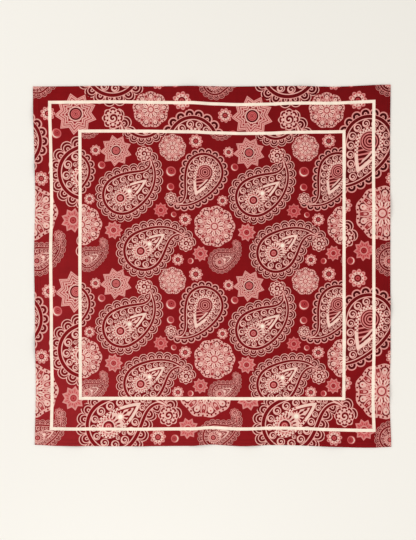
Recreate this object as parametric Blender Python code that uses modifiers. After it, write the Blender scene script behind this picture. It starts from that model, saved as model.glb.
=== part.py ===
"""A square cotton bandana with four narrow turned-under hems, laid flat with its face up.

Metres, +Z up. The origin is the middle of the underside's box, X runs along the
bottom edge to the right and Y up the cloth. The panel lies on Z = 0 and lifts off it
only at its shallow ripples and over the hems. Each hem is a strip under the panel's
rim, mitred at the corners. Every piece is an underside surface with a wall raised on
it, and all of them are laid with the same function, so that they stay parallel.
"""

import math

import bmesh
import bpy
import numpy as np

# Driving dimensions
WIDTH = 0.550  # finished width along X, edge to edge
LENGTH = 0.556  # finished length along Y
CLOTH = 0.001  # wall of every ply
SEAM_GAP = 0.0003  # clear space between plies
HEM_WIDTH = 0.0061  # the turned-under strip
RIM_CHAMFER = 0.0005  # softens the turned edge
STEP_RUN = 0.0025  # run over which the panel comes down from the hem to the surface
FIELD_STEPS = 36  # grid steps along each side of the panel

# Worked out from them
RISE = CLOTH + SEAM_GAP  # underside of the panel over a hem
HEM_OUTER = CLOTH + 2 * SEAM_GAP  # hem's outer side, in from the finished edge
HEM_INNER = HEM_OUTER + HEM_WIDTH
STEP_INSET = HEM_INNER + SEAM_GAP
FIELD_INSET = STEP_INSET + STEP_RUN
MITRE_GAP = SEAM_GAP / math.sqrt(2)  # taken off each hem's end, along its edge

# The panel's underside round its rim, from the field outwards. Inset is in from the
# finished edge, and rise is over the surface.
RIM_ROWS = (
    # inset, rise
    (STEP_INSET, RISE),
    (CLOTH + RIM_CHAMFER, RISE),
    (CLOTH, RISE - RIM_CHAMFER),
    (CLOTH, 0.0),
)

# How each finished edge wanders off its straight line. Place is from -1 to 1 along
# the side, towards +X or +Y, and out is in millimetres.
EDGE_ROWS = {
    # side: (place, out), ...
    "left": ((-1.0, -0.3), (-0.69, -1.9), (-0.33, -0.5), (0.06, 0.8), (0.36, -0.9), (1.0, 2.6)),
    "right": ((-1.0, 1.2), (-0.72, -1.5), (-0.45, 0.3), (0.1, -0.1), (0.64, -0.6), (1.0, 0.3)),
    "bottom": (
        (-1.0, -1.4), (-0.87, 0.3), (-0.46, 0.8), (-0.13, 0.3), (-0.02, -1.9), (0.15, 0.5),
        (0.35, -1.1), (0.89, 3.1), (1.0, 1.8),
    ),
    "top": (
        (-1.0, -0.6), (-0.53, 0.5), (-0.35, -0.3), (-0.12, 0.3), (0.11, -0.6), (0.42, 0.3),
        (0.68, -0.8), (1.0, 2.4),
    ),
}
EDGE_REACH = 0.150  # how far in from an edge its wander is felt

# Ripples where the cloth stands off the surface: soft oval ridges. Middle, half
# length, half width and height are in millimetres, and heading is the ridge's
# direction in degrees from +X.
RIPPLE_COLUMNS = ("x", "y", "heading", "half_length", "half_width", "height")
RIPPLE_ROWS = (
    (-214, -268, 92, 52, 25, 3.0),
    (-112, -278, 84, 42, 22, 1.9),
    (-16, -272, 97, 72, 24, 3.3),
    (56, -278, 78, 55, 25, 3.6),
    (182, -272, 103, 62, 32, 2.3),
    (274, 92, 3, 62, 27, 3.0),
    (274, -62, 12, 72, 26, 2.6),
    (270, -196, -16, 48, 27, 2.2),
    (-272, 236, -22, 52, 25, 2.4),
    (-274, 152, 6, 56, 26, 2.4),
    (-272, -122, -9, 78, 31, 3.1),
    (-34, 276, 86, 44, 24, 1.8),
    (142, 276, 96, 48, 26, 2.1),
    (-162, 14, 79, 122, 40, 1.7),
    (-64, 92, 74, 92, 30, 1.9),
    (72, -98, 52, 132, 34, 2.3),
    (166, 112, 47, 142, 46, 2.5),
)


def eased(place, rows):
    """Value at each place between the rows of a (place, value) table, eased so that it
    is level at every row."""
    places, values = np.array(rows).T
    step = np.clip(np.searchsorted(places, place, side="right") - 1, 0, len(places) - 2)
    along = np.clip((place - places[step]) / (places[step + 1] - places[step]), 0, 1)
    ease = along * along * (3 - 2 * along)
    return values[step] + (values[step + 1] - values[step]) * ease


def wander(flat):
    """Flat points of the cloth moved in its plane, so that its edges wander."""
    half = np.array((WIDTH, LENGTH)) / 2
    moved = flat.copy()
    for axis, low, high in ((0, "left", "right"), (1, "bottom", "top")):
        place = flat[:, 1 - axis] / half[1 - axis]
        for side, sign in ((low, -1), (high, 1)):
            inset = half[axis] - sign * flat[:, axis]
            fade = np.clip(1 - inset / EDGE_REACH, 0, 1) ** 2
            moved[:, axis] += sign * fade * eased(place, EDGE_ROWS[side]) / 1000
    return moved


def lift(places):
    """Height of the cloth's underside over the surface: each ripple is
    height * (1 - s^2 - t^2)^2 inside its oval, where s and t are its own coordinates."""
    height = np.zeros(len(places))
    for row in RIPPLE_ROWS:
        ripple = dict(zip(RIPPLE_COLUMNS, row))
        heading = math.radians(ripple["heading"])
        away = places * 1000 - (ripple["x"], ripple["y"])
        along = away @ (math.cos(heading), math.sin(heading)) / ripple["half_length"]
        across = away @ (-math.sin(heading), math.cos(heading)) / ripple["half_width"]
        height += ripple["height"] * np.clip(1 - along**2 - across**2, 0, None) ** 2
    return height / 1000


def on_ring(fractions, inset):
    """Points at fractions (-1 to 1) of the rectangle that lies inset from the edge."""
    return fractions * (np.array((WIDTH, LENGTH)) / 2 - inset)


def outline_centre():
    """Middle of the box round the wandering outline."""
    steps = np.linspace(-1, 1, FIELD_STEPS + 1)
    ends = np.ones_like(steps)
    sides = [(steps, -ends), (steps, ends), (-ends, steps), (ends, steps)]
    outline = wander(on_ring(np.concatenate([np.column_stack(side) for side in sides]), 0))
    return (outline.min(axis=0) + outline.max(axis=0)) / 2


def lay(mesh, fractions, insets, rises, mitre=0.0):
    """Lays a mesh whose points are given as fractions of the ring at their inset: they
    wander, and stand their rise over the underside. The rim and the hems lift with the
    field's border, so that their section stays the same all round."""
    points = on_ring(fractions, insets[:, None]) - mitre
    centre = outline_centre()
    places = wander(points) - centre
    heights = lift(wander(on_ring(fractions, FIELD_INSET)) - centre) + rises
    for vertex, place, height in zip(mesh.verts, places, heights):
        vertex.co = (*place, height)


def panel_underside():
    """The panel's underside: a square field, then one ring of faces for each row of the
    rim, out over the hems and down to the surface. Until it is laid, a point holds its
    fractions of the square, and its ring's number as its height."""
    mesh = bmesh.new()
    bmesh.ops.create_grid(mesh, x_segments=FIELD_STEPS, y_segments=FIELD_STEPS, size=1)
    for number in range(1, len(RIM_ROWS) + 1):
        edge_loop = [edge for edge in mesh.edges if edge.is_boundary]
        for part in bmesh.ops.extrude_edge_only(mesh, edges=edge_loop)["geom"]:
            if isinstance(part, bmesh.types.BMVert):
                part.co.z = number
    held = np.array([vertex.co for vertex in mesh.verts])
    ring = held[:, 2].astype(int)
    insets, rises = np.array(((FIELD_INSET, 0.0), *RIM_ROWS)).T
    lay(mesh, held[:, :2], insets[ring], rises[ring])
    return mesh


def hem_underside(axis, sign):
    """A hem's underside: a strip along one side, mitred, on the panel's own stations."""
    mesh = bmesh.new()
    bmesh.ops.create_grid(mesh, x_segments=FIELD_STEPS, y_segments=1, size=1)
    steps = np.array([vertex.co for vertex in mesh.verts])
    fractions = np.full((len(steps), 2), float(sign))
    fractions[:, 1 - axis] = steps[:, 0]
    insets = np.where(steps[:, 1] > 0, HEM_OUTER, HEM_INNER)
    mitre = np.zeros_like(fractions)
    mitre[:, 1 - axis] = np.trunc(steps[:, 0]) * MITRE_GAP
    lay(mesh, fractions, insets, 0.0, mitre)
    return mesh


def cotton(name, colour, roughness):
    """A plain dyed cotton."""
    material = bpy.data.materials.new(name)
    material.use_nodes = True
    shader = material.node_tree.nodes["Principled BSDF"]
    shader.inputs["Base Color"].default_value = (*colour, 1)
    shader.inputs["Roughness"].default_value = roughness
    shader.inputs["Metallic"].default_value = 0
    return material


def ply(name, underside, material, collection):
    """One ply of cloth: an underside surface, with its wall raised on it."""
    for face in underside.faces:
        face.smooth = True
    bmesh.ops.recalc_face_normals(underside, faces=underside.faces)
    if sum(face.normal.z * face.calc_area() for face in underside.faces) < 0:
        bmesh.ops.reverse_faces(underside, faces=underside.faces)
    mesh = bpy.data.meshes.new(name)
    underside.to_mesh(mesh)
    underside.free()
    mesh.materials.append(material)
    piece = bpy.data.objects.new(name, mesh)
    collection.objects.link(piece)
    wall = piece.modifiers.new("wall", "SOLIDIFY")
    wall.thickness = CLOTH
    wall.offset = 1
    wall.use_even_offset = True
    return piece


def build():
    """Builds the panel and its four hems."""
    collection = bpy.data.collections.new("bandana")
    bpy.context.scene.collection.children.link(collection)
    face = cotton("printed_cotton", (0.25, 0.02, 0.024), 0.85)
    reverse = cotton("hem_cotton", (0.31, 0.06, 0.06), 0.9)
    ply("panel", panel_underside(), face, collection)
    sides = {"hem_top": (1, 1), "hem_right": (0, 1), "hem_bottom": (1, -1), "hem_left": (0, -1)}
    for name, (axis, sign) in sides.items():
        ply(name, hem_underside(axis, sign), reverse, collection)


for old in list(bpy.data.objects):
    bpy.data.objects.remove(old, do_unlink=True)
build()
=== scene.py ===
"""Looks of a square cotton bandana, laid flat: the printed cloth, its paler reverse, the
four turned-under hems and their stitches, with a studio round them.

The print is worked out in two steps. numpy lays the motifs out and gives each corner of
the cloth's faces its place in the motif that it falls in: local coordinates, the distance
from a paisley's outline, and the count of scallops along it. Shader nodes then draw each
motif from those numbers, so that every line of the print stays sharp.

The cloth's own sizes and the print's are in millimetres. Meshes are in metres.
"""

import logging
import math
from dataclasses import dataclass
from enum import Enum, IntEnum
from itertools import product
from typing import Sequence, Union

import bmesh
import bpy
import numpy as np
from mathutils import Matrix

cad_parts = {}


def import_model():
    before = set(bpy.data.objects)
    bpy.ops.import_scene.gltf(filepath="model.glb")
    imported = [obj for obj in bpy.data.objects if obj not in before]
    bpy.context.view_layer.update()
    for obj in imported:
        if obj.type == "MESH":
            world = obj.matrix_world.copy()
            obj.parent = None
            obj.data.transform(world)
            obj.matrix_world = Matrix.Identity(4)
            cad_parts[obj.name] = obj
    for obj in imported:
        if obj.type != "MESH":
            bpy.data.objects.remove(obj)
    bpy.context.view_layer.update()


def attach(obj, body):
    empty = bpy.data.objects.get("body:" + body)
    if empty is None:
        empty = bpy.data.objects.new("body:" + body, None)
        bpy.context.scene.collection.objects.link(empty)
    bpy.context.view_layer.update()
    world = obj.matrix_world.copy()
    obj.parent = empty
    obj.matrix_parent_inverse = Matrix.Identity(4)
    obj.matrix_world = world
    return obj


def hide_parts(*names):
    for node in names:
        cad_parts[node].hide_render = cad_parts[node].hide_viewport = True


LOG = logging.getLogger("bandana")
BODY = "root"
MM = 0.001
TAU = 2 * math.pi
TINY = 1e-6
BAKE_MAP = "OFBake"

Colour = tuple[float, float, float, float]
Box = tuple[float, float, float, float]  # left, bottom, right, top
Rows = tuple[tuple[float, ...], ...]
Inks = tuple[tuple[float, tuple[int, int, int]], ...]  # depth of ink, and its colour


class Slot(str, Enum):
    """Material slots of the record."""

    PRINTED = "printed_cotton"
    HEM = "hem_cotton"
    THREAD = "sewing_thread"


class Motif(IntEnum):
    """What a face of the cloth is printed with."""

    GROUND = 0
    STAR = 1
    MEDALLION = 2
    DAISY = 3
    BLOSSOM = 4
    BALL = 5
    CURL = 6
    LACE_DROP = 7
    RINGED_DROP = 8


StampRow = tuple[Motif, float, float, float, float, float]


class Tone(float, Enum):
    """Depth of the print's ink: that of the red ground, and of the bare cream."""

    GROUND = 0.30
    CREAM = 1.0


class Mark(str, Enum):
    """Attributes that carry the print's numbers to the shader, three to each."""

    PLACE = "print_place"  # across and up on the cloth, and the motif
    MOTIF = "print_motif"  # across and up in the motif, and its paleness
    FLANK = "print_flank"  # distance outside a drop, scallops along it, its band's width
    HEART = "print_heart"  # distance outside the drop's heart, beads, share of its length


# ---- Sums on whole arrays


def smooth(share: np.ndarray) -> np.ndarray:
    """Eases a share that runs from 0 to 1, so that it is level at both ends."""
    return share * share * (3 - 2 * share)


def eased(place: np.ndarray, rows: Rows) -> np.ndarray:
    """Value at each place between the rows of a (place, value) table, eased so that it is
    level at every row.

    Args:
        place: Places along the table.
        rows: The table, in ascending places.

    Returns:
        The value at each place.
    """
    places, values = np.array(rows).T
    step = np.clip(np.searchsorted(places, place, side="right") - 1, 0, len(places) - 2)
    share = np.clip((place - places[step]) / (places[step + 1] - places[step]), 0, 1)
    return values[step] + (values[step + 1] - values[step]) * smooth(share)


def turned(spots: np.ndarray, degrees: float) -> np.ndarray:
    """Points in axes that are turned anticlockwise.

    Args:
        spots: The points, one row each.
        degrees: The angle.

    Returns:
        Their places along the turned axes.
    """
    angle = math.radians(degrees)
    cosine, sine = math.cos(angle), math.sin(angle)
    return np.column_stack((spots @ (cosine, sine), spots @ (-sine, cosine)))


def spans(points: np.ndarray, middles: np.ndarray) -> np.ndarray:
    """Distance from every point to every middle, with a row for each point."""
    return np.hypot(*(points[:, None, axis] - middles[:, axis] for axis in (0, 1)))


# ---- The cut cloth and the way that it lies


@dataclass(frozen=True)
class Lie:
    """The finished square and how it lies: its edges wander, and it stands off the
    surface at a few soft ripples. Sizes are in millimetres."""

    width: float = 550.0
    length: float = 556.0
    border: float = 10.5  # inset at which the cloth comes off its hems
    reach: float = 100.0  # how far in from an edge its wander is felt
    stations: int = 37  # along each edge, where its outline's box is measured
    edges: tuple[Rows, ...] = (
        # left, right, bottom, top: place from -1 to 1 along the edge, and outward wander
        ((-1.0, -0.3), (-0.69, -1.9), (-0.33, -0.5), (0.06, 0.8), (0.36, -0.9), (1.0, 2.6)),
        ((-1.0, 1.2), (-0.72, -1.5), (-0.45, 0.3), (0.1, -0.1), (0.64, -0.6), (1.0, 0.3)),
        (
            (-1.0, -1.4), (-0.87, 0.3), (-0.46, 0.8), (-0.13, 0.3), (-0.02, -1.9),
            (0.15, 0.5), (0.35, -1.1), (0.89, 3.1), (1.0, 1.8),
        ),
        (
            (-1.0, -0.6), (-0.53, 0.5), (-0.35, -0.3), (-0.12, 0.3), (0.11, -0.6),
            (0.42, 0.3), (0.68, -0.8), (1.0, 2.4),
        ),
    )
    ripples: Rows = (
        # x, y, heading in degrees, half length, half width, height
        (-214, -268, 92, 52, 25, 3.0),
        (-112, -278, 84, 42, 22, 1.9),
        (-16, -272, 97, 72, 24, 3.3),
        (56, -278, 78, 55, 25, 3.6),
        (182, -272, 103, 62, 32, 2.3),
        (274, 92, 3, 62, 27, 3.0),
        (274, -62, 12, 72, 26, 2.6),
        (270, -196, -16, 48, 27, 2.2),
        (-272, 236, -22, 52, 25, 2.4),
        (-274, 152, 6, 56, 26, 2.4),
        (-272, -122, -9, 78, 31, 3.1),
        (-34, 276, 86, 44, 24, 1.8),
        (142, 276, 96, 48, 26, 2.1),
        (-162, 14, 79, 122, 40, 1.7),
        (-64, 92, 74, 92, 30, 1.9),
        (72, -98, 52, 132, 34, 2.3),
        (166, 112, 47, 142, 46, 2.5),
    )

    @property
    def half(self) -> np.ndarray:
        """Half the width and half the length."""
        return np.array((self.width, self.length)) / 2

    def wander(self, flat: np.ndarray) -> np.ndarray:
        """Moves flat points in the cloth's plane, so that its edges wander. The movement
        is the edge's own times (1 - (inset / reach)^2)^2.

        Args:
            flat: Points of the flat square, one row each.

        Returns:
            The moved points.
        """
        moved = flat.copy()
        for edge, (axis, sign) in zip(self.edges, product((0, 1), (-1, 1))):
            place = flat[:, 1 - axis] / self.half[1 - axis]
            inset = self.half[axis] - sign * flat[:, axis]
            fade = np.clip(1 - (inset / self.reach) ** 2, 0, 1) ** 2
            moved[:, axis] += sign * fade * eased(place, edge)
        return moved

    def middle(self) -> np.ndarray:
        """Finds the middle of the box round the wandering outline.

        Returns:
            Its place.
        """
        steps = np.linspace(-1, 1, self.stations)
        ends = np.ones_like(steps)
        sides = [(steps, -ends), (steps, ends), (-ends, steps), (ends, steps)]
        outline = np.concatenate([np.column_stack(side) for side in sides]) * self.half
        outline = self.wander(outline)
        return (outline.min(axis=0) + outline.max(axis=0)) / 2

    def lift(self, places: np.ndarray) -> np.ndarray:
        """Height of the cloth's underside. Each ripple is height * (1 - s^2 - t^2)^2
        inside its oval, where s and t are its own coordinates.

        Args:
            places: Points on the surface, one row each.

        Returns:
            The height at each point.
        """
        height = np.zeros(len(places))
        for x, y, heading, half_length, half_width, top in self.ripples:
            away = turned(places - (x, y), heading) / (half_length, half_width)
            along, across = away.T
            height += top * np.clip(1 - along**2 - across**2, 0, None) ** 2
        return height

    def lay(self, flat: np.ndarray, rise: np.ndarray) -> np.ndarray:
        """Lays points of the flat square down. The rim lifts with the border of the
        cloth that it surrounds.

        Args:
            flat: Points of the flat square.
            rise: Each point's height over the cloth's underside.

        Returns:
            The points in metres.
        """
        limit = self.half - self.border
        border = self.wander(np.clip(flat, -limit, limit)) - self.middle()
        height = self.lift(border) + rise
        return np.column_stack((self.wander(flat) - self.middle(), height)) * MM


# ---- Meshes


def corners_of(faces: Sequence[np.ndarray]) -> tuple[np.ndarray, np.ndarray]:
    """All the faces' corners in a row, and how many each face has."""
    loops = np.concatenate([rows.ravel() for rows in faces])
    return loops, np.concatenate([np.full(len(rows), rows.shape[1]) for rows in faces])


def new_object(
    name: str,
    points: np.ndarray,
    faces: Sequence[np.ndarray],
    material: bpy.types.Material,
) -> bpy.types.Object:
    """Makes an object from points and faces, shaded smooth.

    Args:
        name: The object's name.
        points: The points in metres, one row each.
        faces: Arrays of corners, each with one row for every face.
        material: Its material.

    Returns:
        The object, riding on the body.
    """
    mesh = bpy.data.meshes.new(name)
    loops, sizes = corners_of(faces)
    mesh.vertices.add(len(points))
    mesh.vertices.foreach_set("co", points.astype(np.float32).ravel())
    mesh.loops.add(len(loops))
    mesh.loops.foreach_set("vertex_index", loops.astype(np.int32))
    mesh.polygons.add(len(sizes))
    mesh.polygons.foreach_set("loop_start", (np.cumsum(sizes) - sizes).astype(np.int32))
    mesh.polygons.foreach_set("loop_total", sizes.astype(np.int32))
    mesh.polygons.foreach_set("use_smooth", np.ones(len(sizes), dtype=bool))
    mesh.update(calc_edges=True)
    mesh.validate()
    mesh.materials.append(material)
    piece = bpy.data.objects.new(name, mesh)
    bpy.context.scene.collection.objects.link(piece)
    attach(piece, BODY)
    LOG.info("%s: %d points, %d faces", name, len(points), len(sizes))
    return piece


def grid_faces(rows: int, columns: int) -> np.ndarray:
    """Quads between neighbouring points of a grid whose columns run fastest.

    Args:
        rows: Points along the first axis.
        columns: Points along the second.

    Returns:
        Four corners a face, anticlockwise from the side where the axes turn so.
    """
    number = np.arange(rows * columns).reshape(rows, columns)
    corners = (number[:-1, :-1], number[1:, :-1], number[1:, 1:], number[:-1, 1:])
    return np.stack(corners, axis=-1).reshape(-1, 4)


def recalculate(mesh: bpy.types.Mesh) -> None:
    """Turns the faces of a closed mesh outwards.

    Args:
        mesh: The mesh.
    """
    shape = bmesh.new()
    shape.from_mesh(mesh)
    bmesh.ops.recalc_face_normals(shape, faces=shape.faces)
    shape.to_mesh(mesh)
    shape.free()


def boundary(rows: int, columns: int) -> np.ndarray:
    """Points round the boundary of a grid, anticlockwise.

    Args:
        rows: Points along the first axis.
        columns: Points along the second.

    Returns:
        Their numbers, each once.
    """
    number = np.arange(rows * columns).reshape(rows, columns)
    sides = (number[:-1, 0], number[-1, :-1], number[:0:-1, -1], number[0, :0:-1])
    return np.concatenate(sides)


# ---- The print's layout


@dataclass(frozen=True)
class Trail:
    """How points lie to a drop: their distance outside it, negative within, and how far
    along its outline the nearest stretch is, counted from its round end's back."""

    distance: np.ndarray
    along: np.ndarray
    share: np.ndarray  # of the spine's length


@dataclass(frozen=True)
class Drop:
    """A paisley's outline: all that lies within a row of circles, whose middles follow a
    curling spine and whose radii shrink from the round end to the tip.

    The spine's direction is heading + bend * share^curl degrees, and the radius is
    tail + (radius - tail) * (1 - (share / neck)^shoulder)^taper. Sizes are in
    millimetres of the small repeat.
    """

    x: float
    y: float
    radius: float
    length: float
    heading: float
    bend: float = 0.0
    curl: float = 1.0
    neck: float = 1.0
    tail: float = 0.0
    shoulder: float = 1.0
    taper: float = 1.0
    steps: int = 180
    steepest: float = 0.95  # most that the radius changes by for a length of 1
    hollow: float = 1.5  # how far out lengths are measured on the side that it curls to

    def spine(self) -> tuple[np.ndarray, np.ndarray, np.ndarray]:
        """Works out the row of circles.

        Returns:
            The circles' middles, their radii and the spine's directions.
        """
        share = np.linspace(0, 1, self.steps)
        turn = np.radians(self.heading + self.bend * share**self.curl)
        ahead = np.column_stack((np.cos(turn), np.sin(turn)))
        stretch = self.length / (self.steps - 1) * (ahead[1:] + ahead[:-1]) / 2
        start = np.array((self.x, self.y))
        middles = start + np.vstack(((0, 0), np.cumsum(stretch, axis=0)))
        shrink = 1 - np.clip(share / self.neck, 0, 1) ** self.shoulder
        return middles, self.tail + (self.radius - self.tail) * shrink**self.taper, ahead

    def flanks(self, out: float) -> tuple[np.ndarray, np.ndarray]:
        """Points where each circle touches the outline, moved out.

        Args:
            out: How far outside the outline the points lie.

        Returns:
            The points of the left flank and of the right one, from the round end on.
        """
        middles, radii, ahead = self.spine()
        left = np.column_stack((-ahead[:, 1], ahead[:, 0]))
        slope = np.gradient(radii, self.length / (self.steps - 1))
        lean = np.clip(slope, -self.steepest, self.steepest)[:, None]
        upright = np.sqrt(1 - lean**2)
        reach = (radii + out)[:, None]
        return (
            middles + reach * (upright * left - lean * ahead),
            middles + reach * (-upright * left - lean * ahead),
        )

    def follow(self, points: np.ndarray, out: float) -> Trail:
        """Measures points against the outline.

        Args:
            points: The points, one row each.
            out: How far outside the outline lengths along it are measured. On the side
                that the drop curls to, they are measured nearer to it.

        Returns:
            Their distances, and their places along the outline.
        """
        middles, radii, ahead = self.spine()
        away = spans(points, middles) - radii
        nearest = away.argmin(axis=1)
        row = np.arange(len(points))
        before = away[row, np.maximum(nearest - 1, 0)]
        after = away[row, np.minimum(nearest + 1, self.steps - 1)]
        here = away[row, nearest]
        sharpness = np.maximum(before - 2 * here + after, TINY)
        within = (nearest > 0) & (nearest < self.steps - 1)
        spot = nearest + np.where(within, np.clip((before - after) / 2 / sharpness, -1, 1), 0)
        offset = points - middles[nearest]
        forward = (offset * ahead[nearest]).sum(axis=1)
        leftward = ahead[nearest, 0] * offset[:, 1] - ahead[nearest, 1] * offset[:, 0]
        lean = (radii[1] - radii[0]) * (self.steps - 1) / self.length
        contact = math.atan2(math.sqrt(max(0.0, 1 - lean * lean)), lean)
        along = np.arctan2(leftward, -forward)
        along = np.clip(along, -contact, contact) * (self.radius + out)
        for number, sign in enumerate((1, -1)):
            curls_here = sign * self.bend > 0
            flank = self.flanks(min(out, self.hollow) if curls_here else out)[number]
            steps = np.hypot(*np.diff(flank, axis=0).T)
            gone = np.interp(spot, np.arange(self.steps), np.append(0, np.cumsum(steps)))
            side = (nearest > 0) & (np.sign(leftward) == sign)
            along[side] = sign * (contact * (self.radius + out) + gone[side])
        return Trail(here, along, spot / (self.steps - 1))


@dataclass(frozen=True)
class Paisley:
    """A paisley: its drop, the heart within, its scalloped edge and its ring of spirals.
    Sizes are in millimetres of the small repeat, and those after grain are also times
    the grain."""

    motif: Motif
    drop: Drop
    heart: Drop
    scallop: float  # width of a scallop
    fringe: float  # depth of the scallops
    band: tuple[float, float]  # width of the dark band at the round end and at the neck
    start: float = 0.0  # share of a scallop that they are moved along by
    spread: float = 1.2  # from one spiral to the next, as a share of their radii
    pale: float = 0.0
    grain: float = 1.0  # size of the drawing inside
    bead: float = 4.3  # from one hole of the heart's border to the next
    line: float = 1.4  # cream line within the dark band
    coil: float = 4.9  # radius of the biggest spirals
    least: float = 2.5  # radius of the smallest in the chain, and of the biggest fillers
    filler: float = 2.2  # least room for a filler
    search: float = 0.7  # step of the search for that room
    back_steps: int = 90

    @property
    def middle(self) -> np.ndarray:
        """A point near the middle of the motif."""
        return self.drop.spine()[0].mean(axis=0)

    @property
    def extent(self) -> float:
        """Finds how far the motif reaches from its middle.

        Returns:
            Its reach, in millimetres.
        """
        middles, radii, _ = self.drop.spine()
        far = np.hypot(*(middles - self.middle).T) + radii
        return float(far.max()) + self.fringe

    def spirals(self) -> np.ndarray:
        """Places and sizes of the spirals: a chain of them round the ring between the
        dark band and the heart, and smaller ones wherever there is room left.

        Returns:
            Rows of x, y and radius.
        """
        rim = (self.band[0] + self.line) * self.grain
        middles, radii, _ = self.drop.spine()
        left, right = self.drop.flanks(-rim)
        inner = np.maximum(radii - rim, TINY)[:, None]
        facing_left, facing_right = (left - middles) / inner, (right - middles) / inner
        start, stop = (math.atan2(side[0][1], side[0][0]) for side in (facing_left, facing_right))
        angles = np.linspace(start, start + (stop - start) % TAU, self.back_steps)
        facing_back = np.column_stack((np.cos(angles), np.sin(angles)))
        back = middles[0] + (radii[0] - rim) * facing_back
        rims = np.vstack((left[::-1], back, right))
        facing = np.vstack((facing_left[::-1], facing_back, facing_right))
        room = np.concatenate((radii[::-1], np.full(len(back), radii[0]), radii)) - rim
        gap = self.heart.follow(rims, 0.0).distance / 2
        size = np.minimum(np.minimum(gap, room), self.coil * self.grain)
        kept: list[np.ndarray] = []
        for place, outward, radius in zip(rims, facing, size):
            if radius < self.least * self.grain:
                continue
            spot = place - outward * radius
            if all(np.hypot(*(spot - old[:2])) > (radius + old[2]) * self.spread for old in kept):
                kept.append(np.array((*spot, radius)))
        span = np.arange(-self.extent, self.extent, self.search * self.grain)
        spots = np.column_stack([side.ravel() for side in np.meshgrid(span, span)]) + self.middle
        free = -self.drop.follow(spots, 0.0).distance - rim
        spots, free = spots[free > 0], free[free > 0]
        free = np.minimum(free, self.heart.follow(spots, 0.0).distance)
        for x, y, radius in kept:
            free = np.minimum(free, np.hypot(*(spots - (x, y)).T) - radius)
        while free.max() > self.filler * self.grain:
            best = free.argmax()
            radius = min(free[best], self.least * self.grain)
            kept.append(np.array((*spots[best], radius)))
            free = np.minimum(free, np.hypot(*(spots - spots[best]).T) - radius)
        return np.array(kept)


@dataclass(frozen=True)
class Repeat:
    """One printing of the pattern: where its star lies on the cloth, and its scale."""

    star: tuple[float, float]
    scale: tuple[float, float]
    period: float = 205.6

    def local(self, places: np.ndarray) -> np.ndarray:
        """Places on the cloth in millimetres of the small repeat, from the star."""
        return (places - self.star) / self.scale

    def nearest(self, away: np.ndarray) -> np.ndarray:
        """Brings differences of place to the nearest repeat."""
        return away - np.round(away / self.period) * self.period


@dataclass(frozen=True)
class Cells:
    """The faces of a mesh as the print sees them, and the numbers for their corners."""

    local: np.ndarray  # each face's place in its repeat
    away: np.ndarray  # each corner's place from its face's middle
    face: np.ndarray  # each corner's face
    values: dict[Mark, np.ndarray]  # three numbers a corner, filled in motif by motif


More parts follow.
